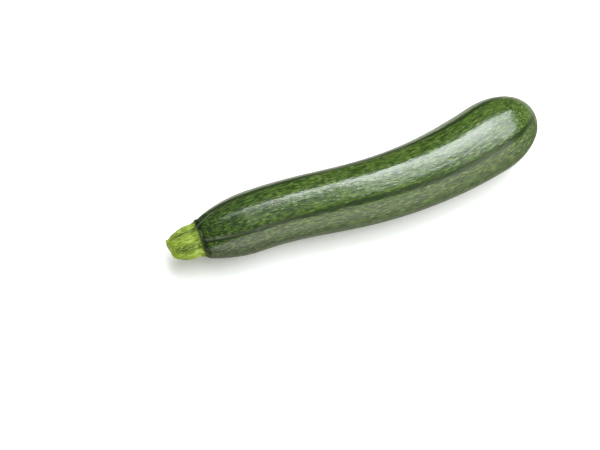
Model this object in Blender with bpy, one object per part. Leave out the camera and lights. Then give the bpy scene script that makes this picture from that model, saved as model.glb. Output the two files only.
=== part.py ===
"""A courgette as picked: the ribbed fruit and the stub of its stem, lying on its side.

Lengths are in metres and +Z is up. Each piece is first turned as a straight body along X, with x = 0 at the
seat where the stem meets the fruit: the fruit runs towards +X and the stem towards -X. Both are then bent
along the spine, which is a curve in the XY plane, and laid down so that the underside touches z = 0.
The origin is the middle of the footprint.
"""

import math

import bmesh
import bpy
from mathutils import Matrix, Vector
from mathutils.geometry import interpolate_bezier

# The spine in plan, from the seat to the blossom tip: a Bezier curve with one handle at each end.
FRUIT_SPAN = 0.2015
TIP_OFFSET = 0.0002
SEAT_HANDLE = (0.0680, 0.0098)
TIP_HANDLE = (0.0975, -0.0282)
SPINE_POINTS = 200

# The neck's crook: over its last stretch the spine swings aside, towards +Y, to meet the stem.
CROOK_LENGTH = 0.030
CROOK_SWING = 0.0028

# The fruit's outline, as mean radii about the spine.
SEAT_RADIUS = 0.0095
NECK_RADIUS = 0.0172
BELLY_RADIUS = 0.0209
TAPER_POWER = 1.6
SHOULDER_LENGTH = 0.0275
SHOULDER_POWER = 1.6
DOME_LENGTH = 0.030
DOME_POWER = 2.1

# The fruit's ribs. By the stem they are rounded lobes, which run out along the body. Every second groove
# goes on as a shallow furrow, and the body between the grooves is gently flattened into facets. One crest is
# RIB_TURN from the top of the fruit, measured towards +Y.
RIBS = 10
RIB_TURN = math.radians(-8)
NECK_RIB_HEIGHT = 0.0022
NECK_RIB_LENGTH = 0.006
NECK_FURROW_DEPTH = 0.0001
BODY_FURROW_DEPTH = 0.00012
FURROW_LENGTH = 0.035
FURROW_SHARPNESS = 8
CORNER_HEIGHT = 0.00012
FACET_HEIGHT = 0.00017
FACET_START = 0.016

# Past the neck the ribs are wider around WIDE_SIDE than opposite it, and they twist slowly to and fro.
WIDE_SIDE = math.radians(-8)
WIDENING = math.radians(8.4)
WIDENING_LENGTH = 0.025
TWIST_MEAN = math.radians(-2.5)
TWIST_SWING = math.radians(-3)
TWIST_START = 0.15
TWIST_PERIOD = 0.65

# Ribs and ridges run out within this distance of the axis, at both ends of the fruit and of the stem.
RIB_END_RADIUS = 0.005

# The scar that the blossom left at the tip.
SCAR_RADIUS = 0.0036
SCAR_DEPTH = 0.0006

# The stem, from its foot on the seat to the knife cut. Its radii are means between ridge and hollow.
STEM_LENGTH = 0.0181
STEM_RADIUS = 0.0090
FOOT_OVERHANG = 0.0009
FOOT_LENGTH = 0.0045
CUT_RADIUS = 0.0050
CUT_TAPER_LENGTH = 0.0105
CUT_TAPER_POWER = 1.35
STEM_RIDGES = 5
RIDGE_TURN = math.radians(3)
RIDGE_HEIGHT = 0.0018
RIDGE_SHARPNESS = 1.4
HOLLOW_SHARE = 0.42
STEM_BEND = math.radians(-7)
CUT_SLANT = math.radians(19)
CUT_LEAN = math.radians(8)

# How the pieces meet: the stem clears the fruit, and the fruit's own weight flattens its underside.
SEAT_GAP = 0.0003
UNDERSIDE_PRESS = 0.0004

# How finely the surfaces are divided.
FRUIT_SEGMENTS = 60
SHOULDER_RINGS = 12
BODY_RINGS = 16
DOME_RINGS = 12
STEM_SEGMENTS = 50
STEM_RINGS = 10

# Viewport materials.
SKIN_COLOUR = (0.055, 0.125, 0.028, 1.0)
STEM_COLOUR = (0.33, 0.46, 0.075, 1.0)


def clear_scene():
    for obj in list(bpy.data.objects):
        bpy.data.objects.remove(obj)


def plain_material(name, colour, roughness):
    material = bpy.data.materials.new(name)
    material.use_nodes = True
    shader = material.node_tree.nodes["Principled BSDF"]
    shader.inputs["Base Color"].default_value = colour
    shader.inputs["Roughness"].default_value = roughness
    shader.inputs["Metallic"].default_value = 0.0
    return material


class Spine:
    """The plan curve, read by distance along it. Before the seat it goes on as the stem's own arc."""

    def __init__(self):
        tip = Vector((FRUIT_SPAN, TIP_OFFSET, 0))
        knots = (Vector((0, 0, 0)), Vector((*SEAT_HANDLE, 0)), Vector((*TIP_HANDLE, 0)), tip)
        self.points = interpolate_bezier(*knots, SPINE_POINTS)
        for point in self.points:
            point.y += CROOK_SWING * max(0.0, 1 - point.x / CROOK_LENGTH) ** 2
        self.reached = [0.0]
        for a, b in zip(self.points, self.points[1:]):
            self.reached.append(self.reached[-1] + (b - a).length)
        self.length = self.reached[-1]

    def step_at(self, distance):
        """The index of the straight step of the curve that holds this distance."""
        step = 0
        while step < SPINE_POINTS - 2 and self.reached[step + 1] < distance:
            step += 1
        return step

    def at(self, distance):
        """The point of the curve at this distance from the seat, and the curve's heading there."""
        if distance < 0:
            turn = STEM_BEND * -distance / STEM_LENGTH
            middle = self.heading_of(0) + turn / 2
            back = Vector((math.cos(middle), math.sin(middle), 0)) * distance
            return self.points[0] + back, self.heading_of(0) + turn
        step = self.step_at(distance)
        a, b = self.points[step], self.points[step + 1]
        share = (distance - self.reached[step]) / (b - a).length
        before, after = self.heading_of(step), self.heading_of(min(step + 1, SPINE_POINTS - 2))
        return a.lerp(b, share), before + (after - before) * share

    def heading_of(self, step):
        along = self.points[step + 1] - self.points[step]
        return math.atan2(along.y, along.x)


def rounded(share, power):
    """A quarter of a superellipse: 0 at share 0, rising steeply, level at 1."""
    share = min(max(share, 0.0), 1.0)
    return (1 - (1 - share) ** power) ** (1 / power)


def body_radius(distance, length):
    """The fruit's radius without its rounded ends: it grows from the neck to the belly."""
    share = min(max(distance / (length - DOME_LENGTH), 0.0), 1.0)
    return NECK_RADIUS + (BELLY_RADIUS - NECK_RADIUS) * share**TAPER_POWER


def fruit_radius(distance, length):
    """The fruit's mean radius, with the shoulder by the stem and the dome at the blossom end."""
    radius = body_radius(distance, length)
    radius = SEAT_RADIUS + (radius - SEAT_RADIUS) * rounded(distance / SHOULDER_LENGTH, SHOULDER_POWER)
    return radius * rounded((length - distance) / DOME_LENGTH, DOME_POWER)


def rib_phase(angle, distance, length):
    """The angle as half turns from rib to rib: its cosine is 0 in every groove of the fruit."""
    grown_out = 1 - math.exp(-distance / WIDENING_LENGTH)
    twist = TWIST_MEAN + TWIST_SWING * math.cos(math.tau * (distance / length - TWIST_START) / TWIST_PERIOD)
    shift = RIB_TURN + grown_out * (twist + WIDENING * math.sin(angle - WIDE_SIDE))
    return RIBS / 2 * (angle - shift)


def rib_height(angle, distance, length):
    """How far the skin stands from the mean radius."""
    phase = rib_phase(angle, distance, length)
    lobe = NECK_RIB_HEIGHT * math.exp(-distance / NECK_RIB_LENGTH) * (abs(math.cos(phase)) - 2 / math.pi)
    furrow_depth = NECK_FURROW_DEPTH * math.exp(-distance / FURROW_LENGTH) + BODY_FURROW_DEPTH
    furrow = furrow_depth * max(0.0, -math.sin(phase)) ** FURROW_SHARPNESS
    facet = FACET_HEIGHT * (1 - math.exp(-distance / FACET_START)) * math.cos(2 * phase)
    from_tip = rounded((length - distance) / DOME_LENGTH, DOME_POWER)
    return (lobe - furrow - facet + CORNER_HEIGHT * math.sin(phase)) * from_tip**2


def stem_radius(distance):
    """The stem's mean radius at this distance from its foot: a flared foot, then a taper at the cut."""
    foot_radius = SEAT_RADIUS + FOOT_OVERHANG
    flare = (foot_radius - STEM_RADIUS) * max(0.0, 1 - distance / FOOT_LENGTH) ** 2
    from_cut = (STEM_LENGTH - distance) / CUT_TAPER_LENGTH
    return CUT_RADIUS + (STEM_RADIUS - CUT_RADIUS) * rounded(from_cut, CUT_TAPER_POWER) + flare


def ridge_height(angle, distance):
    """Five blunt ridges with a hollow between each two, shallower towards the cut."""
    wave = 0.5 + 0.5 * math.cos(STEM_RIDGES * (angle - RIDGE_TURN))
    height = RIDGE_HEIGHT * stem_radius(distance) / STEM_RADIUS
    return (wave**RIDGE_SHARPNESS - HOLLOW_SHARE) * height


def eased(count):
    """Shares from 0 to 1 that crowd together towards 0."""
    return [1 - math.cos(math.pi / 2 * k / count) for k in range(count + 1)]


def fruit_profile(length):
    """(x, radius) from the middle of the seat to the tip, with the blossom scar as a shallow dish."""
    body_end = length - DOME_LENGTH
    distances = [SHOULDER_LENGTH * share for share in eased(SHOULDER_RINGS)]
    step = (body_end - SHOULDER_LENGTH) / BODY_RINGS
    distances += [SHOULDER_LENGTH + step * k for k in range(1, BODY_RINGS)]
    distances += [length - DOME_LENGTH * share for share in reversed(eased(DOME_RINGS))]
    rim = [(d, fruit_radius(d, length)) for d in distances]
    rim = [(d, r) for d, r in rim if d < length / 2 or r > SCAR_RADIUS]
    dish = [(length - SCAR_DEPTH, SCAR_RADIUS / 2), (length - SCAR_DEPTH * 1.5, 0.0)]
    return [(0.0, 0.0), *rim, *dish]


def stem_profile():
    """(x, radius) from the middle of the foot to past the cut, which is made afterwards."""
    past = STEM_LENGTH + STEM_RADIUS * (abs(math.tan(CUT_SLANT)) + abs(math.tan(CUT_LEAN)))
    rings = [SEAT_GAP + (past - SEAT_GAP) * k / STEM_RINGS for k in range(STEM_RINGS + 1)]
    return [(-SEAT_GAP, 0.0), *[(-d, stem_radius(d)) for d in rings], (-past, 0.0)]


def turned(profile, segments):
    """A closed body of revolution about X: the profile is drawn once and spun right round."""
    bm = bmesh.new()
    line = [bm.verts.new((x, 0, radius)) for x, radius in profile]
    edges = [bm.edges.new(pair) for pair in zip(line, line[1:])]
    bmesh.ops.spin(
        bm,
        geom=line + edges,
        cent=(0, 0, 0),
        axis=(1, 0, 0),
        angle=2 * math.pi,
        steps=segments,
        use_merge=True,
    )
    bmesh.ops.remove_doubles(bm, verts=bm.verts, dist=1e-6)
    bmesh.ops.recalc_face_normals(bm, faces=bm.faces)
    return bm


def raise_ribs(bm, height_of):
    """Moves each vertex out from the X axis by height_of(angle, distance), less near the axis itself.
    The angle is 0 at the top and grows towards +Y, and the distance is from the seat, either way."""
    for vert in bm.verts:
        radius = math.hypot(vert.co.y, vert.co.z)
        if radius < 1e-6:
            continue
        angle = math.atan2(vert.co.y, vert.co.z)
        height = height_of(angle, abs(vert.co.x)) * min(1.0, radius / RIB_END_RADIUS)
        vert.co.y *= (radius + height) / radius
        vert.co.z *= (radius + height) / radius


def bend(bm, spine):
    """Bends the straight body along the spine, and lays it at the height of its own underside."""
    for vert in bm.verts:
        point, heading = spine.at(vert.co.x)
        rest_height = body_radius(vert.co.x, spine.length) - UNDERSIDE_PRESS
        side = Vector((-math.sin(heading), math.cos(heading), 0)) * vert.co.y
        vert.co = point + side + Vector((0, 0, rest_height + vert.co.z))


def press_flat(bm):
    """The strip that the fruit rests on: what would reach below the table is level with it."""
    for vert in bm.verts:
        vert.co.z = max(vert.co.z, 0.0)


def knife_cut(bm):
    """Cuts the straight stem off at CUT_SLANT in plan, leaning back by CUT_LEAN so that the cut shows
    from above, and closes the cut with one flat face."""
    level = math.cos(CUT_LEAN)
    facing = (-math.cos(CUT_SLANT) * level, -math.sin(CUT_SLANT) * level, math.sin(CUT_LEAN))
    made = bmesh.ops.bisect_plane(
        bm,
        geom=bm.verts[:] + bm.edges[:] + bm.faces[:],
        plane_co=(-STEM_LENGTH, 0, 0),
        plane_no=facing,
        clear_outer=True,
    )
    rim = [item for item in made["geom_cut"] if isinstance(item, bmesh.types.BMEdge)]
    bmesh.ops.contextual_create(bm, geom=rim)
    bmesh.ops.recalc_face_normals(bm, faces=bm.faces)


def piece(name, bm, material):
    mesh = bpy.data.meshes.new(name)
    bm.to_mesh(mesh)
    bm.free()
    mesh.materials.append(material)
    mesh.shade_smooth()
    mesh.set_sharp_from_angle(angle=math.radians(50))
    obj = bpy.data.objects.new(name, mesh)
    bpy.context.scene.collection.objects.link(obj)
    return obj


def make_fruit(spine):
    bm = turned(fruit_profile(spine.length), FRUIT_SEGMENTS)
    raise_ribs(bm, lambda angle, distance: rib_height(angle, distance, spine.length))
    bend(bm, spine)
    press_flat(bm)
    return piece("fruit", bm, plain_material("courgette_skin", SKIN_COLOUR, 0.3))


def make_stem(spine):
    bm = turned(stem_profile(), STEM_SEGMENTS)
    raise_ribs(bm, ridge_height)
    knife_cut(bm)
    bend(bm, spine)
    return piece("stem", bm, plain_material("stem_rind", STEM_COLOUR, 0.6))


def centre_on_footprint(objects):
    """Puts the origin in the middle of the whole footprint, on the table."""
    corners = [vert.co for obj in objects for vert in obj.data.vertices]
    middle = [(min(c[k] for c in corners) + max(c[k] for c in corners)) / 2 for k in range(2)]
    bottom = min(c.z for c in corners)
    for obj in objects:
        obj.data.transform(Matrix.Translation((-middle[0], -middle[1], -bottom)))


clear_scene()
courgette_spine = Spine()
centre_on_footprint([make_fruit(courgette_spine), make_stem(courgette_spine)])
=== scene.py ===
# %% [markdown]
# # A courgette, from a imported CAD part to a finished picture
#
# The object is a dark green courgette lying on its side, with the stub of its stem still on. The CAD part
# gives its size and its place. This lesson makes the same fruit again with far more surface: ribs, soft
# dents, a waxy skin with pale dashes, a fibrous stem and its knife cut.
#
# The part comes first, because every later position is read from its boxes.

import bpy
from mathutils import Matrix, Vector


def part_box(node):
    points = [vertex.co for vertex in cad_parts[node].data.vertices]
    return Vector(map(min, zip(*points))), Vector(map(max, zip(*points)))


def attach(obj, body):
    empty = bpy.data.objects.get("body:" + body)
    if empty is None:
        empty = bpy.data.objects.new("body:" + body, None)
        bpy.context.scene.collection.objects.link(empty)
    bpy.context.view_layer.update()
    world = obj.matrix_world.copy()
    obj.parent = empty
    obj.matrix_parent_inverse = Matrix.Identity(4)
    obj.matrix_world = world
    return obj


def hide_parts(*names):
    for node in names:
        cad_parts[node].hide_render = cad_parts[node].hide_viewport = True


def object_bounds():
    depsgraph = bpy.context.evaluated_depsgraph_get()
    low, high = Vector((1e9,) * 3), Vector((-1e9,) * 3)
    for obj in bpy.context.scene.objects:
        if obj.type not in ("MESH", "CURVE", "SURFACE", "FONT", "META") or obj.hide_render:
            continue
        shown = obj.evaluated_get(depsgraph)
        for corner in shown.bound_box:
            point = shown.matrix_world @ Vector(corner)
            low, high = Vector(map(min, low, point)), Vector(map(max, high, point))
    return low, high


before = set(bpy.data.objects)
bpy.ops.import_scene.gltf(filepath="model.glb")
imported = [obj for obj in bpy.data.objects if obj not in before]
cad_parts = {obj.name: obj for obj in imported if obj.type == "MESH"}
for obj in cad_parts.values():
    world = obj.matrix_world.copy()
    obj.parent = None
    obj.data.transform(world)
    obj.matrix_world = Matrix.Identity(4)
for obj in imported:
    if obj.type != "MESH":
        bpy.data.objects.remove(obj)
cad_low, cad_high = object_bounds()
fruit_low, fruit_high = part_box("fruit")
print("CAD box:", [round(1000 * (high - low), 1) for low, high in zip(cad_low, cad_high)], "mm")

# %% [markdown]
# ## Tools
#
# All lengths are in metres, so one constant turns millimetres into them. Colours are written as sRGB hex
# values, the way a designer reads them off a swatch, while the renderer wants linear light: one function
# turns one into the other.

# %% Units and colours
import math

import bmesh
import bpy
from mathutils import Matrix, Vector, noise
from mathutils.geometry import interpolate_bezier

MM = 0.001


def hex_colour(code):
    """A linear RGBA colour from an sRGB code such as 4b6625."""
    shares = [int(code[k : k + 2], 16) / 255 for k in (0, 2, 4)]
    linear = [s / 12.92 if s <= 0.04045 else ((s + 0.055) / 1.055) ** 2.4 for s in shares]
    return (*linear, 1.0)


print("middle grey, 808080, is", round(hex_colour("808080")[0], 3), "in linear light")

# %% [markdown]
# ## The spine
#
# A courgette hangs from its vine while it grows, so it bends a little. In plan its middle line is one
# Bezier curve, and near the stem it swings aside in a short crook. The fruit is modelled straight and
# bent along this line afterwards, which keeps the ribs and the grain running lengthwise for free.

# %% Spine of the fruit
FRUIT_SPAN = 201.5 * MM
TIP_OFFSET = 0.2 * MM
SEAT_HANDLE = (68.0 * MM, 9.8 * MM)
TIP_HANDLE = (97.5 * MM, -28.2 * MM)
SPINE_POINTS = 200
CROOK_LENGTH = 30 * MM
CROOK_SWING = 2.8 * MM
STEM_LENGTH = 18.1 * MM
STEM_BEND = math.radians(-7)

spine_knots = [(0, 0), SEAT_HANDLE, TIP_HANDLE, (FRUIT_SPAN, TIP_OFFSET)]
spine = interpolate_bezier(*[Vector((*knot, 0)) for knot in spine_knots], SPINE_POINTS)
for point in spine:
    point.y += CROOK_SWING * max(0.0, 1 - point.x / CROOK_LENGTH) ** 2
reached = [0.0]
for a, b in zip(spine, spine[1:]):
    reached.append(reached[-1] + (b - a).length)
LENGTH = reached[-1]
headings = [math.atan2(b.y - a.y, b.x - a.x) for a, b in zip(spine, spine[1:])]


def on_spine(distance):
    """The point of the spine at this distance from the seat, and its heading. The stem lies before 0."""
    if distance < 0:
        turn = STEM_BEND * -distance / STEM_LENGTH
        middle = headings[0] + turn / 2
        return spine[0] + Vector((math.cos(middle), math.sin(middle), 0)) * distance, headings[0] + turn
    step = 0
    while step < SPINE_POINTS - 2 and reached[step + 1] < distance:
        step += 1
    share = (distance - reached[step]) / (reached[step + 1] - reached[step])
    after = headings[min(step + 1, SPINE_POINTS - 2)]
    return spine[step].lerp(spine[step + 1], share), headings[step] + (after - headings[step]) * share


print("fruit along its spine:", round(LENGTH / MM, 1), "mm")

# %% [markdown]
# ## The outline
#
# Cut across, a courgette is nearly round, so it starts as a turned body: one profile line, spun about X.
# The profile has three parts. A shoulder rises steeply from the seat of the stem, the body thickens
# slowly to the belly, and a blunt dome closes the blossom end. Both ends are quarters of a superellipse,
# because a plain circle looks too pointed there.

# %% Outline of the fruit
SEAT_RADIUS = 9.5 * MM
NECK_RADIUS = 17.2 * MM
BELLY_RADIUS = 20.9 * MM
TAPER_POWER = 1.6
SHOULDER_LENGTH = 27.5 * MM
SHOULDER_POWER = 1.6
DOME_LENGTH = 30 * MM
DOME_POWER = 2.1


def rounded(share, power):
    """A quarter of a superellipse: 0 at share 0, rising steeply, level at 1."""
    share = min(max(share, 0.0), 1.0)
    return (1 - (1 - share) ** power) ** (1 / power)


def body_radius(distance):
    share = min(max(distance / (LENGTH - DOME_LENGTH), 0.0), 1.0)
    return NECK_RADIUS + (BELLY_RADIUS - NECK_RADIUS) * share**TAPER_POWER


def fruit_radius(distance):
    shoulder = rounded(distance / SHOULDER_LENGTH, SHOULDER_POWER)
    radius = SEAT_RADIUS + (body_radius(distance) - SEAT_RADIUS) * shoulder
    return radius * rounded((LENGTH - distance) / DOME_LENGTH, DOME_POWER)


print("belly:", round(2 * body_radius(LENGTH) / MM, 1), "mm thick")

# %% [markdown]
# ## Ribs, dents and grain
#
# Ten lobes stand round the seat of the stem, with sharp notches between them. A few millimetres on they
# sink away, and every second notch goes on along the body as a shallow furrow with a flat facet on either
# side. The facets are why the highlight has straight edges, so they have to be real geometry, where a
# bump in the finish would leave the outline round.
#
# One angle drives it all: the rib phase goes through half a turn from one lobe to the next. Its cosine
# gives the lobes, its sine the furrows, and the cosine of twice the phase the facets. On top of that the
# skin is never even. It has shallow hollows a few centimetres long and a fine lengthwise grain, from
# noise that is a fixed function of place, so each run grows the same fruit.

# %% Relief of the skin
RIBS = 10
RIB_TURN = math.radians(-8)
NECK_RIB_HEIGHT = 2.2 * MM
NECK_RIB_LENGTH = 6 * MM
MEAN_LOBE = 2 / math.pi
NECK_FURROW_DEPTH = 0.1 * MM
BODY_FURROW_DEPTH = 0.12 * MM
FURROW_LENGTH = 35 * MM
FURROW_SHARPNESS = 8
CORNER_HEIGHT = 0.12 * MM
FACET_HEIGHT = 0.17 * MM
FACET_START = 16 * MM
WIDE_SIDE = math.radians(-8)
WIDENING = math.radians(8.4)
WIDENING_LENGTH = 25 * MM
TWIST_MEAN = math.radians(-2.5)
TWIST_SWING = math.radians(-3)
TWIST_START = 0.15
TWIST_PERIOD = 0.65
RIB_END_RADIUS = 5 * MM
DENT_HEIGHT = 0.18 * MM
DENT_SIZE = (30 * MM, 11 * MM)
DENT_SEED = 3.0
GRAIN_HEIGHT = 0.03 * MM
GRAIN_SIZE = (5 * MM, 1.4 * MM)
GRAIN_SEED = 40.0

print(RIBS, "ribs of", round(360 / RIBS), "degrees each")


# %% Noise and rib phase
def uneven(grown, size, seed):
    """Noise from about -1 to 1. Its lumps have this length along the fruit and this width across it."""
    along, across = size
    place = Vector((grown.x / along, grown.y / across, grown.z / across + seed))
    return noise.noise(place)


def rib_phase(angle, distance):
    """Goes through half a turn from one rib to the next. Ribs are wider on one side, and twist slowly."""
    grown_out = 1 - math.exp(-distance / WIDENING_LENGTH)
    turns = (distance / LENGTH - TWIST_START) / TWIST_PERIOD
    twist = TWIST_MEAN + TWIST_SWING * math.cos(math.tau * turns)
    shift = RIB_TURN + grown_out * (twist + WIDENING * math.sin(angle - WIDE_SIDE))
    return RIBS / 2 * (angle - shift)


print("rib phase at the top, middle of the fruit:", round(rib_phase(0, LENGTH / 2), 2))


# %% Height of ribs, dents and grain
def rib_height(angle, distance):
    phase = rib_phase(angle, distance)
    lobe = NECK_RIB_HEIGHT * math.exp(-distance / NECK_RIB_LENGTH) * (abs(math.cos(phase)) - MEAN_LOBE)
    furrow_depth = NECK_FURROW_DEPTH * math.exp(-distance / FURROW_LENGTH) + BODY_FURROW_DEPTH
    furrow = furrow_depth * max(0.0, -math.sin(phase)) ** FURROW_SHARPNESS
    facet = FACET_HEIGHT * (1 - math.exp(-distance / FACET_START)) * math.cos(2 * phase)
    from_tip = rounded((LENGTH - distance) / DOME_LENGTH, DOME_POWER)
    return (lobe - furrow - facet + CORNER_HEIGHT * math.sin(phase)) * from_tip**2


def skin_height(angle, grown):
    dents = DENT_HEIGHT * uneven(grown, DENT_SIZE, DENT_SEED)
    grain = GRAIN_HEIGHT * uneven(grown, GRAIN_SIZE, GRAIN_SEED)
    return rib_height(angle, grown.x) + dents + grain


heights = [rib_height(math.radians(angle), 0) for angle in range(360)]
print("at the seat the ribs rise and fall over", round((max(heights) - min(heights)) / MM, 2), "mm")

# %% [markdown]
# ## Turning, raising, bending
#
# Three helpers do all the shaping. The first spins a profile into a closed body. The second lifts the
# surface away from the axis. The third keeps where each point was while the body was still straight,
# because the finishes follow the grown shape, and then lays the point along the spine. A curve modifier
# could bend the body too, but it would leave no trace of the straight shape for the finishes to read.

# %% Helpers for turned and bent bodies
UNDERSIDE_PRESS = 0.4 * MM
MERGE_DISTANCE = 0.001 * MM


def turned(profile, segments):
    """A closed body of revolution about X."""
    bm = bmesh.new()
    line = [bm.verts.new((x, 0, radius)) for x, radius in profile]
    edges = [bm.edges.new(pair) for pair in zip(line, line[1:])]
    bmesh.ops.spin(
        bm,
        geom=line + edges,
        cent=(0, 0, 0),
        axis=(1, 0, 0),
        angle=math.tau,
        steps=segments,
        use_merge=True,
    )
    bmesh.ops.remove_doubles(bm, verts=bm.verts, dist=MERGE_DISTANCE)
    bmesh.ops.recalc_face_normals(bm, faces=bm.faces)
    return bm


print("spun bodies are closed by merging points", round(MERGE_DISTANCE / MM, 3), "mm apart or less")


# %% Raise and bend
def raise_surface(bm, height_of):
    """Moves each vertex away from the axis by height_of(angle, place). The angle is 0 at the top.
    Towards the axis the height fades out, so that the poles stay smooth."""
    for vert in bm.verts:
        radius = math.hypot(vert.co.y, vert.co.z)
        if radius > MERGE_DISTANCE:
            near_axis = min(1.0, radius / RIB_END_RADIUS)
            height = near_axis * height_of(math.atan2(vert.co.y, vert.co.z), vert.co)
            vert.co.y *= (radius + height) / radius
            vert.co.z *= (radius + height) / radius


def bend(bm, phase_of):
    """Bends the body. First it keeps the straight place of each vertex in the attribute grown, and the
    cosine and sine of its rib phase in the attribute rib."""
    grown = bm.verts.layers.float_vector.new("grown")
    rib = bm.verts.layers.float_vector.new("rib")
    for vert in bm.verts:
        vert[grown] = vert.co
        phase = phase_of(math.atan2(vert.co.y, vert.co.z), vert.co.x)
        vert[rib] = (math.cos(phase), math.sin(phase), 0)
        point, heading = on_spine(vert.co.x)
        side = Vector((-math.sin(heading), math.cos(heading), 0)) * vert.co.y
        vert.co = point + side + Vector((0, 0, body_radius(vert.co.x) - UNDERSIDE_PRESS + vert.co.z))


print("the axis lies", round((body_radius(0) - UNDERSIDE_PRESS) / MM, 1), "mm up at the seat")


# %% Turn a bmesh into a piece
def finished_piece(name, bm, shift, node):
    """A smooth object at the origin, riding on the part and standing for its CAD node."""
    bmesh.ops.transform(bm, matrix=Matrix.Translation(shift), verts=bm.verts)
    mesh = bpy.data.meshes.new(name)
    bm.to_mesh(mesh)
    bm.free()
    mesh.shade_smooth()
    obj = bpy.data.objects.new(name, mesh)
    bpy.context.scene.collection.objects.link(obj)
    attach(obj, "root")
    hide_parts(node)
    triangles = sum(len(face.vertices) - 2 for face in mesh.polygons)
    print(name, "has", triangles, "triangles")
    return obj


# %% [markdown]
# ## The fruit
#
# The fruit could be a subdivided cylinder with a displacement modifier. A spun profile is better here:
# its rings can crowd where the outline turns quickly, at the seat and at the tip, and are two thirds of a
# millimetre apart between, so that dents and grain have points to move. The blossom scar, where the
# flower fell off, is a shallow dish at the end of the profile.
#
# After bending, the underside is pressed flat where the fruit's own weight bears, and the whole is moved
# so that its box has the same middle as the CAD's.

# %% Make the fruit
SCAR_RADIUS = 3.6 * MM
SCAR_DEPTH = 0.6 * MM
SCAR_STEPS = ((0.7, 0.85), (1.3, 0.6), (1.5, 0.3), (1.2, 0.0))
SHOULDER_RINGS = 60
BODY_RINGS = 200
DOME_RINGS = 70
FRUIT_SEGMENTS = 270


def eased(count):
    """Shares from 0 to 1 that crowd together towards 0."""
    return [1 - math.cos(math.pi / 2 * k / count) for k in range(count + 1)]


first_rings = [SHOULDER_LENGTH * share for share in eased(SHOULDER_RINGS)[1:4]]
print("first rings after the seat:", [round(ring / MM, 2) for ring in first_rings], "mm")

# %% Profile of the fruit
distances = [SHOULDER_LENGTH * share for share in eased(SHOULDER_RINGS)]
body_step = (LENGTH - DOME_LENGTH - SHOULDER_LENGTH) / BODY_RINGS
distances += [SHOULDER_LENGTH + body_step * k for k in range(1, BODY_RINGS)]
distances += [LENGTH - DOME_LENGTH * share for share in reversed(eased(DOME_RINGS))]
rim = [(d, fruit_radius(d)) for d in distances]
rim = [(d, r) for d, r in rim if d < LENGTH / 2 or r > SCAR_RADIUS]
seat = [(0.0, 0.0), (0.0, SEAT_RADIUS / 2)]
dish = [(LENGTH - SCAR_DEPTH * depth, SCAR_RADIUS * share) for depth, share in SCAR_STEPS]
fruit_profile = [*seat, *rim, *dish]
print("profile:", len(fruit_profile), "points")

# %% Spin, raise, bend and press the fruit
fruit_mesh = turned(fruit_profile, FRUIT_SEGMENTS)
raise_surface(fruit_mesh, skin_height)
bend(fruit_mesh, rib_phase)
for vert in fruit_mesh.verts:
    vert.co.z = max(vert.co.z, 0.0)

xs = [vert.co.x for vert in fruit_mesh.verts]
ys = [vert.co.y for vert in fruit_mesh.verts]
middle = (fruit_low + fruit_high) / 2
shift = Vector((middle.x - (min(xs) + max(xs)) / 2, middle.y - (min(ys) + max(ys)) / 2, 0))
fruit = finished_piece("courgette_fruit", fruit_mesh, shift, "fruit")
print("fruit moved by", [round(s / MM, 2) for s in shift], "mm")

# %% [markdown]
# ## The stem
#
# The stub of the stem is a five-ridged peduncle. Its foot flares out over the shoulder in a scalloped
# edge, one scallop to a rib, then it narrows to the place where a knife took it off. Fine lengthwise
# fibres run over the ridges. It is spun and raised by the same helpers as the fruit, with its own
# heights.
#
# The cut is one flat face. The turned body runs past it and is bisected by a plane, and the open rim that
# is left is filled with one face that gets a finish of its own.

# %% Sizes of the stem
STEM_RADIUS = 9.0 * MM
FOOT_OVERHANG = 0.9 * MM
FOOT_LENGTH = 4.5 * MM
CUT_RADIUS = 5.0 * MM
CUT_TAPER_LENGTH = 10.5 * MM
CUT_TAPER_POWER = 1.35
STEM_RIDGES = 5
RIDGE_TURN = math.radians(3)
RIDGE_HEIGHT = 1.8 * MM
RIDGE_SHARPNESS = 1.4
HOLLOW_SHARE = 0.42
CUT_SLANT = math.radians(19)
CUT_LEAN = math.radians(8)
FOOT_SINK = 1.5 * MM
SCALLOPS = 10
SCALLOP_HEIGHT = 0.45 * MM
SCALLOP_LENGTH = 4 * MM
FIBRE_HEIGHT = 0.22 * MM
FIBRE_SIZE = (9 * MM, 1.3 * MM)
FIBRE_SEED = 7.0
KNOB_HEIGHT = 0.5 * MM
KNOB_SIZE = (6 * MM, 4 * MM)
KNOB_SEED = 21.0
STEM_RINGS = 90
STEM_SEGMENTS = 240


print("stem:", round(STEM_LENGTH / MM, 1), "mm long and", round(2 * STEM_RADIUS / MM, 1), "mm thick")


# %% Outline and ridges of the stem
def stem_radius(distance):
    in_foot = max(0.0, 1 - max(distance, 0.0) / FOOT_LENGTH)
    flare = (SEAT_RADIUS + FOOT_OVERHANG - STEM_RADIUS) * in_foot**2
    taper = rounded((STEM_LENGTH - distance) / CUT_TAPER_LENGTH, CUT_TAPER_POWER)
    return CUT_RADIUS + (STEM_RADIUS - CUT_RADIUS) * taper + flare


def ridge_phase(angle, distance):
    return STEM_RIDGES * (angle - RIDGE_TURN)


def ridge_height(angle, distance):
    wave = 0.5 + 0.5 * math.cos(ridge_phase(angle, distance))
    return (wave**RIDGE_SHARPNESS - HOLLOW_SHARE) * RIDGE_HEIGHT * stem_radius(distance) / STEM_RADIUS


def stem_height(angle, grown):
    fibres = FIBRE_HEIGHT * uneven(grown, FIBRE_SIZE, FIBRE_SEED)
    knobs = KNOB_HEIGHT * uneven(grown, KNOB_SIZE, KNOB_SEED)
    at_foot = max(0.0, 1 + grown.x / SCALLOP_LENGTH) ** 2 if grown.x < 0 else 1.0
    scallop = SCALLOP_HEIGHT * at_foot * math.cos(SCALLOPS * (angle - RIB_TURN))
    return ridge_height(angle, -grown.x) + fibres + knobs + scallop


print("stem at its cut:", round(2 * stem_radius(STEM_LENGTH) / MM, 1), "mm thick")

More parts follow.
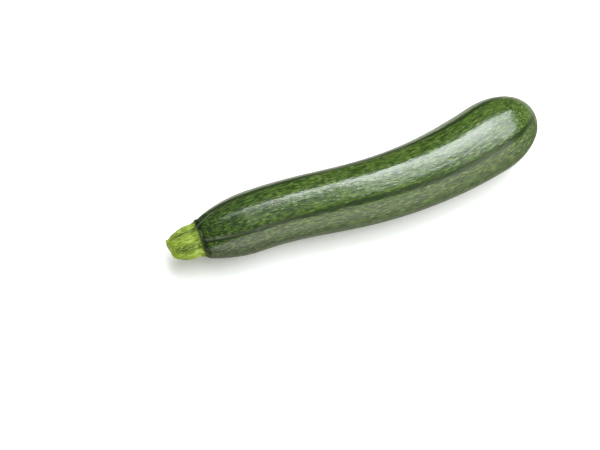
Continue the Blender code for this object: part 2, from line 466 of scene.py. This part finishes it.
# %% Spin, raise and cut the stem
past = STEM_LENGTH + STEM_RADIUS * (math.tan(CUT_SLANT) + math.tan(CUT_LEAN))
rings = [(past + FOOT_SINK) * k / STEM_RINGS - FOOT_SINK for k in range(STEM_RINGS + 1)]
stem_profile = [(FOOT_SINK, 0.0), *[(-d, stem_radius(d)) for d in rings], (-past, 0.0)]
stem_mesh = turned(stem_profile, STEM_SEGMENTS)
raise_surface(stem_mesh, stem_height)
level = math.cos(CUT_LEAN)
cut = bmesh.ops.bisect_plane(
    stem_mesh,
    geom=stem_mesh.verts[:] + stem_mesh.edges[:] + stem_mesh.faces[:],
    plane_co=(-STEM_LENGTH, 0, 0),
    plane_no=(-math.cos(CUT_SLANT) * level, -math.sin(CUT_SLANT) * level, math.sin(CUT_LEAN)),
    clear_outer=True,
)
cut_rim = [item for item in cut["geom_cut"] if isinstance(item, bmesh.types.BMEdge)]
cut_face = bmesh.ops.contextual_create(stem_mesh, geom=cut_rim)["faces"][0]
cut_face.material_index = 1
bmesh.ops.recalc_face_normals(stem_mesh, faces=stem_mesh.faces)
bend(stem_mesh, ridge_phase)
stem = finished_piece("courgette_stem", stem_mesh, shift, "stem")

# %% [markdown]
# ## Finishes
#
# A material is a small network of nodes. One function adds a node, gives it its settings and fills its
# inputs, and everything below is written with it. An input may be a plain value, a socket, or a node,
# which stands for its first output.

# %% A helper that adds a node
def add_node(tree, kind, inputs=(), **settings):
    """Adds a node. Its inputs are a list in the node's own order, or a dict by name or by place."""
    node = tree.nodes.new(kind)
    for key, value in settings.items():
        setattr(node, key, value)
    for key, value in inputs.items() if isinstance(inputs, dict) else enumerate(inputs):
        if isinstance(value, bpy.types.Node):
            value = value.outputs[0]
        if isinstance(value, bpy.types.NodeSocket):
            tree.links.new(value, node.inputs[key])
        else:
            node.inputs[key].default_value = value
    return node


def empty_material(name):
    material = bpy.data.materials.new(name)
    material.use_nodes = True
    material.node_tree.nodes.clear()
    return material


print("the rind starts from", [round(share, 3) for share in hex_colour("2b420a")[:3]], "in linear light")

# %% [markdown]
# ## Patterns that follow the growth
#
# Everything on a courgette is drawn out lengthwise, because the skin stretches as the fruit grows. So
# each noise is sampled at the place that a point had while the body was straight, and is squeezed by the
# real length and width of its lumps. That could be done with a UV map too, but a UV map pinches at both
# ends of the fruit.
#
# Colours are laid on like glazes: each layer has a pattern, the two values between which it fades in, the
# most that it covers, and its colour.

# %% Stretched noise and glazes
# A Mix node keeps sockets for numbers, vectors and colours side by side: these are the places of its share,
# its two colours and its mixed colour.
MIX_SHARE, MIX_UNDER, MIX_OVER, MIX_RESULT = 0, 6, 7, 2


def grown_noises(tree, grown, lumps):
    """Noises by name, from the length and width of their lumps, their octaves and how rough they are."""
    noises = {}
    for name, (length, width, octaves, roughness) in lumps.items():
        scale = (1 / length, 1 / width, 1 / width)
        place = add_node(tree, "ShaderNodeMapping", {"Vector": grown, "Scale": scale})
        shape = {"Vector": place, "Scale": 1.0, "Detail": octaves, "Roughness": roughness}
        noises[name] = add_node(tree, "ShaderNodeTexNoise", shape)
    return noises


def glazed(tree, tone, layers):
    """Lays each layer's colour over the tone, where its pattern goes from start to end."""
    for pattern, start, end, cover, code in layers:
        fade = [pattern, start, end, 0.0, cover]
        share = add_node(tree, "ShaderNodeMapRange", fade, interpolation_type="SMOOTHSTEP")
        colours = {MIX_SHARE: share, MIX_UNDER: tone, MIX_OVER: hex_colour(code)}
        tone = add_node(tree, "ShaderNodeMix", colours, data_type="RGBA").outputs[MIX_RESULT]
    return tone


print("noise lies between 0 and 1, mostly from 0.35 to 0.65, so the glazes fade in around 0.5")

# %% [markdown]
# ## The rind of the fruit
#
# The rind is a thin, tight, deep green skin under a natural wax. Its cells are darker and lighter in
# clouds a few centimetres long, with pale hair lines along the fruit, and short dashes, dark and light,
# all over. Young pale lenticels dot it, fewer at the neck. The neck is a colder, darker green. The
# furrows are darker still, partly from a darker pigment and partly from painted shade in the crease, and
# a ring of painted shade lies where the stem's foot meets the fruit. At the tip is the corky scar of the
# flower.

# %% Patterns of the rind
FLECK_LENGTH = 4.0 * MM
FLECK_WIDTH = 0.95 * MM
RIND_LUMPS = {
    "clouds": (22 * MM, 5 * MM, 2.0, 0.5),
    "hairlines": (12 * MM, 0.75 * MM, 3.0, 0.55),
    "dashes": (3.6 * MM, 0.6 * MM, 4.0, 0.6),
    "swells": (7 * MM, 2.0 * MM, 2.0, 0.5),
    "pores": (2.2 * MM, 0.8 * MM, 3.0, 0.6),
}

rind = empty_material("waxy_courgette_rind")
tree = rind.node_tree
grown = add_node(tree, "ShaderNodeAttribute", attribute_name="grown").outputs["Vector"]
along = add_node(tree, "ShaderNodeSeparateXYZ", [grown]).outputs["X"]
rib = add_node(tree, "ShaderNodeAttribute", attribute_name="rib").outputs["Vector"]
furrow = add_node(tree, "ShaderNodeSeparateXYZ", [rib]).outputs["Y"]
tip = (LENGTH, 0, 0)
from_tip = add_node(tree, "ShaderNodeVectorMath", [grown, tip], operation="DISTANCE").outputs["Value"]
noises = grown_noises(tree, grown, RIND_LUMPS)
print("the rind has", len(noises), "noises")

# %% Lenticels of the rind
scale = (1 / FLECK_LENGTH, 1 / FLECK_WIDTH, 1 / FLECK_WIDTH)
place = add_node(tree, "ShaderNodeMapping", {"Vector": grown, "Scale": scale})
cells = add_node(tree, "ShaderNodeTexVoronoi", {"Vector": place, "Scale": 1.0}, feature="F1")
chance = add_node(tree, "ShaderNodeSeparateXYZ", [cells.outputs["Color"]])
from_cell = cells.outputs["Distance"]
ragged = add_node(tree, "ShaderNodeMath", [noises["dashes"], 0.5, from_cell], operation="MULTIPLY_ADD")
fade = [ragged, 0.68, 0.42, 0.0, 1.0]
fleck = add_node(tree, "ShaderNodeMapRange", fade, interpolation_type="SMOOTHSTEP")
for value, start, end, low, high in (
    (chance, 0.25, 0.85, 0.0, 1.0),
    (furrow, -0.9, -1.0, 1.0, 0.1),
    (along, 0.0, 60 * MM, 0.3, 1.0),
):
    fade = [value, start, end, low, high]
    kept = add_node(tree, "ShaderNodeMapRange", fade, interpolation_type="SMOOTHSTEP")
    fleck = add_node(tree, "ShaderNodeMath", [fleck, kept], operation="MULTIPLY")
print("a lenticel lies in a cell of", round(FLECK_LENGTH / MM, 1), "x", round(FLECK_WIDTH / MM, 1), "mm")

# %% Colours of the rind
tone = glazed(
    tree,
    hex_colour("2b420a"),
    (
        (noises["clouds"], 0.3, 0.7, 1.0, "364d0e"),
        (along, 75 * MM, 8 * MM, 0.9, "182d10"),
        (noises["hairlines"], 0.52, 0.64, 0.55, "56742b"),
        (noises["hairlines"], 0.48, 0.36, 0.6, "1c2f07"),
        (noises["dashes"], 0.5, 0.62, 0.7, "5c772c"),
        (noises["dashes"], 0.5, 0.37, 0.85, "162603"),
        # partly a darker pigment line, partly painted shade: the furrows are glazed darker, as if shaded in
        # the crease
        (furrow, -0.88, -1.0, 0.8, "152707"),
        # painted shade: a near-black ring on the rind where the stem's foot meets the fruit
        (along, 3.5 * MM, 0.5 * MM, 1.0, "0d1604"),
        (fleck, 0.0, 1.0, 0.55, "8b965a"),
        (from_tip, 3.9 * MM, 3.1 * MM, 1.0, "806f48"),
    ),
)
print("colours of the rind are laid on")

# %% [markdown]
# ### Wax and relief
#
# Wet plant tissue has an IOR of about 1.45 and the wax on it about 1.5. The rind itself is satin, from 0.3
# to 0.4 rough, and the wax is a thin clear coat that handling has rubbed nearly smooth, which gives the
# long white highlight its crisp edge. Swells two millimetres wide make that edge ragged, and pores break
# the glare up into specks. Real pores are a quarter of this size: they are drawn as coarse as they need
# to be to show from a metre away.

# %% Wax and relief of the rind
height = 0.0
for pattern, size in ((noises["swells"], 0.13 * MM), (noises["pores"], 0.06 * MM), (fleck, -0.02 * MM)):
    height = add_node(tree, "ShaderNodeMath", [pattern, size, height], operation="MULTIPLY_ADD")
relief = add_node(tree, "ShaderNodeBump", {"Height": height, "Strength": 1.0, "Distance": 1.0})
satin = add_node(tree, "ShaderNodeMapRange", [noises["clouds"], 0.3, 0.7, 0.3, 0.4])
skin = add_node(
    tree,
    "ShaderNodeBsdfPrincipled",
    {
        "Base Color": tone,
        "Roughness": satin,
        "IOR": 1.45,
        "Normal": relief,
        "Coat Weight": 0.9,
        "Coat Roughness": 0.13,
        "Coat IOR": 1.5,
        "Coat Normal": relief,
    },
)
add_node(tree, "ShaderNodeOutputMaterial", [skin])
fruit.data.materials.append(rind)
print(rind.name, "has", len(tree.nodes), "nodes")

# %% [markdown]
# ## The rind of the stem
#
# The stub is woody and dry to the touch: firm yellow-green tissue with hard fibres, and no wax. Its ridges
# are painted paler, a painted highlight, the hollows between them a deep leaf green, a painted shade, and a
# band of painted shade lies at its foot where it meets the fruit. The fibres show as pale and dark streaks
# less than a millimetre wide. It is brightest near the cut, where the knife has bruised it.

# %% Fibrous rind of the stem
STEM_LUMPS = {
    "fibres": (7 * MM, 0.7 * MM, 3.0, 0.6),
    "blotches": (4 * MM, 2.5 * MM, 2.0, 0.5),
}

peel = empty_material("fibrous_stem_rind")
tree = peel.node_tree
grown = add_node(tree, "ShaderNodeAttribute", attribute_name="grown").outputs["Vector"]
along = add_node(tree, "ShaderNodeSeparateXYZ", [grown]).outputs["X"]
rib = add_node(tree, "ShaderNodeAttribute", attribute_name="rib").outputs["Vector"]
ridge = add_node(tree, "ShaderNodeSeparateXYZ", [rib]).outputs["X"]
noises = grown_noises(tree, grown, STEM_LUMPS)
tone = glazed(
    tree,
    hex_colour("4c6611"),
    (
        # painted highlight: the stem's ridges are glazed paler, as if catching the light
        (ridge, -1.0, 0.3, 1.0, "7c922c"),
        # painted shade: the hollows between the ridges are glazed dark, as if shaded
        (ridge, -0.75, -1.0, 1.0, "2f4709"),
        (noises["fibres"], 0.5, 0.63, 0.75, "a9b857"),
        (noises["fibres"], 0.5, 0.38, 0.75, "4a6512"),
        (noises["blotches"], 0.55, 0.75, 0.35, "93a944"),
        # painted shade: a dark band at the stem's foot, where it meets the fruit
        (along, -1.6 * MM, 0.0, 1.0, "2a3d0b"),
        (along, -13 * MM, -18 * MM, 0.55, "8ea60f"),
    ),
)
print("the stem has", len(noises), "noises")

# %% Dry surface of the stem
FIBRE_RELIEF = 0.35 * MM

height = add_node(tree, "ShaderNodeMath", [noises["fibres"], FIBRE_RELIEF], operation="MULTIPLY")
relief = add_node(tree, "ShaderNodeBump", {"Height": height, "Strength": 1.0, "Distance": 1.0})
look = {"Base Color": tone, "Roughness": 0.55, "IOR": 1.4, "Normal": relief}
add_node(tree, "ShaderNodeOutputMaterial", [add_node(tree, "ShaderNodeBsdfPrincipled", look)])
stem.data.materials.append(peel)
print(peel.name, "has", len(tree.nodes), "nodes")

# %% [markdown]
# ## The fresh cut
#
# The knife leaves a flat face that dries dull within minutes. Its middle is pale pith, and towards the
# rim the flesh turns to a sharp yellow-green, with the ends of the vessels as small darker spots.

# %% Fresh cut of the stem
CUT_LUMPS = {"vessels": (1.0 * MM, 1.0 * MM, 3.0, 0.5)}

flesh = empty_material("cut_stem_flesh")
tree = flesh.node_tree
grown = add_node(tree, "ShaderNodeAttribute", attribute_name="grown").outputs["Vector"]
middle = (-STEM_LENGTH, 0, 0)
from_middle = add_node(tree, "ShaderNodeVectorMath", [grown, middle], operation="DISTANCE").outputs["Value"]
noises = grown_noises(tree, grown, CUT_LUMPS)
tone = glazed(
    tree,
    hex_colour("b3c26a"),
    (
        (from_middle, 1.0 * MM, 4.0 * MM, 1.0, "8aa316"),
        (noises["vessels"], 0.5, 0.7, 0.6, "6f8a12"),
    ),
)
look = {"Base Color": tone, "Roughness": 0.8, "IOR": 1.36, "Specular IOR Level": 0.2}
add_node(tree, "ShaderNodeOutputMaterial", [add_node(tree, "ShaderNodeBsdfPrincipled", look)])
stem.data.materials.append(flesh)
print(flesh.name, "has", len(tree.nodes), "nodes")

# %% [markdown]
# ## The table
#
# The fruit lies on a white board with a matt lacquer. It glows a little, as a light table does, which
# keeps the contact shadow soft and pale. Mirror-like rays don't see it: the world below gives the wax its
# reflections of the white surround instead, which leaves them in one place to adjust.

# %% Lay the table
TABLE_SIZE = 6.0
TABLE_GLOW = 0.15

lacquer = empty_material("white_lacquered_board")
look = {"Base Color": hex_colour("f4f4f2"), "Roughness": 0.9, "IOR": 1.45}
look |= {"Emission Color": (1, 1, 1, 1), "Emission Strength": TABLE_GLOW}
tree = lacquer.node_tree
add_node(tree, "ShaderNodeOutputMaterial", [add_node(tree, "ShaderNodeBsdfPrincipled", look)])

bm = bmesh.new()
bmesh.ops.create_grid(bm, x_segments=1, y_segments=1, size=TABLE_SIZE / 2)
mesh = bpy.data.meshes.new("table")
bm.to_mesh(mesh)
bm.free()
mesh.materials.append(lacquer)
table = bpy.data.objects.new("table", mesh)
table.visible_glossy = False
bpy.context.scene.collection.objects.link(table)
print("table:", [round(side, 1) for side in table.dimensions[:2]], "m")

# %% [markdown]
# ## Lights
#
# The light is that of a product studio: long softboxes overhead, which draw one broad highlight along the
# fruit. Each is a panel square to the fruit, given by the two angles that it leans off straight up,
# positive to the back, by its reach along X, and by its radiance, the brightness that a mirror would
# show. Placing panels by those angles makes it easy to say where the highlight's edges fall, because a
# facet mirrors a single angle.
#
# The main softbox is brighter over the near part, a dimmer panel carries the highlight's soft lower edge,
# and another stands over the blossom end. A narrow strip gives the thin line at the neck. A weak, warm
# panel in front lifts the facet that faces the viewer.

# %% Hang the softboxes
LIGHT_DISTANCE = 1.2
COOL_LIGHT = (0.94, 0.98, 1.0)
WARM_LIGHT = (1.0, 0.99, 0.9)

for name, leans, reach, radiance, colour in (
    ("main_softbox", (6, 43), (0.06, 0.32), 10.8, COOL_LIGHT),
    ("main_falloff", (-14, 6), (0.08, 0.32), 8.0, COOL_LIGHT),
    ("blossom_softbox", (6, 44), (0.32, 1.4), 6.2, COOL_LIGHT),
    ("blossom_falloff", (-34, 6), (0.32, 1.4), 5.0, COOL_LIGHT),
    ("neck_strip", (34, 42), (-0.5, 0.06), 4.5, COOL_LIGHT),
    ("front_fill", (-88, -52), (-1.0, 1.0), 1.7, WARM_LIGHT),
):
    middle, half = math.radians(sum(leans) / 2), math.radians(leans[1] - leans[0]) / 2
    panel = bpy.data.lights.new(name, "AREA")
    panel.shape = "RECTANGLE"
    panel.size, panel.size_y = reach[1] - reach[0], 2 * LIGHT_DISTANCE * math.tan(half)
    panel.energy = radiance * math.pi * panel.size * panel.size_y
    panel.color = colour
    light = bpy.data.objects.new(name, panel)
    light.location = (sum(reach) / 2, LIGHT_DISTANCE * math.sin(middle), LIGHT_DISTANCE * math.cos(middle))
    light.rotation_euler = (-middle, 0, 0)
    light.visible_camera = False
    bpy.context.scene.collection.objects.link(light)
    print(name, round(panel.energy), "W")

# %% [markdown]
# ## World
#
# The surround is a pale room, and it shows only where the skin is seen at a grazing angle: as a fine pale
# rim along the far edge, and as a veil on the side that turns down. Its brightness is given by the same
# lean angle as the panels, from straight down at the back, over the top, to straight down in front.

# %% Surround of the studio
WORLD_LEVELS = (
    (-180, 0.2),
    (-120, 0.4),
    (-95, 1.1),
    (-80, 0.1),
    (45, 0.08),
    (117, 0.05),
    (131, 0.7),
    (180, 0.45),
)

world = bpy.data.worlds.new("studio")
bpy.context.scene.world = world
world.use_nodes = True
tree = world.node_tree
tree.nodes.clear()
direction = add_node(tree, "ShaderNodeTexCoord").outputs["Generated"]
direction = add_node(tree, "ShaderNodeSeparateXYZ", [direction]).outputs
lean = add_node(tree, "ShaderNodeMath", [direction["Y"], direction["Z"]], operation="ARCTAN2")
share = add_node(tree, "ShaderNodeMapRange", [lean, -math.pi, math.pi, 0.0, 1.0])
levels = add_node(tree, "ShaderNodeValToRGB", [share])
for stop, (degrees, level) in enumerate(WORLD_LEVELS):
    place = (degrees + 180) / 360
    element = levels.color_ramp.elements[stop] if stop < 2 else levels.color_ramp.elements.new(place)
    element.position = place
    element.color = (level, level, 0.88 * level, 1)
surround = add_node(tree, "ShaderNodeBackground", [levels])
add_node(tree, "ShaderNodeOutputWorld", [surround])
print("the surround has", len(WORLD_LEVELS), "levels")

# %% [markdown]
# ## Camera
#
# The camera looks down steeply from in front and a little to the left, through a long lens that keeps the
# fruit free of distortion. It is placed from the middle of the CAD's box: back along the line of sight,
# and then a little to the side, which sets the fruit right of the middle of the frame.

# %% Set up the camera
AZIMUTH = math.radians(-22.91)
ELEVATION = math.radians(75)
CAMERA_DISTANCE = 0.7966
CAMERA_SIDE = -0.0323
CAMERA_RISE = -0.0198

camera_data = bpy.data.cameras.new("camera")
camera_data.lens = 85
camera_data.sensor_width = 36
camera = bpy.data.objects.new("camera", camera_data)
bpy.context.scene.collection.objects.link(camera)
bpy.context.scene.camera = camera
level_share = math.cos(ELEVATION)
back = Vector((math.sin(AZIMUTH) * level_share, -math.cos(AZIMUTH) * level_share, math.sin(ELEVATION)))
right = Vector((math.cos(AZIMUTH), math.sin(AZIMUTH), 0))
centre = (Vector(cad_low) + Vector(cad_high)) / 2
up = back.cross(right)
camera.location = centre + back * CAMERA_DISTANCE + right * CAMERA_SIDE + up * CAMERA_RISE
camera.rotation_euler = back.to_track_quat("Z", "Y").to_euler()
bpy.context.scene.view_settings.view_transform = "Standard"
print("camera at", [round(place, 3) for place in camera.location])
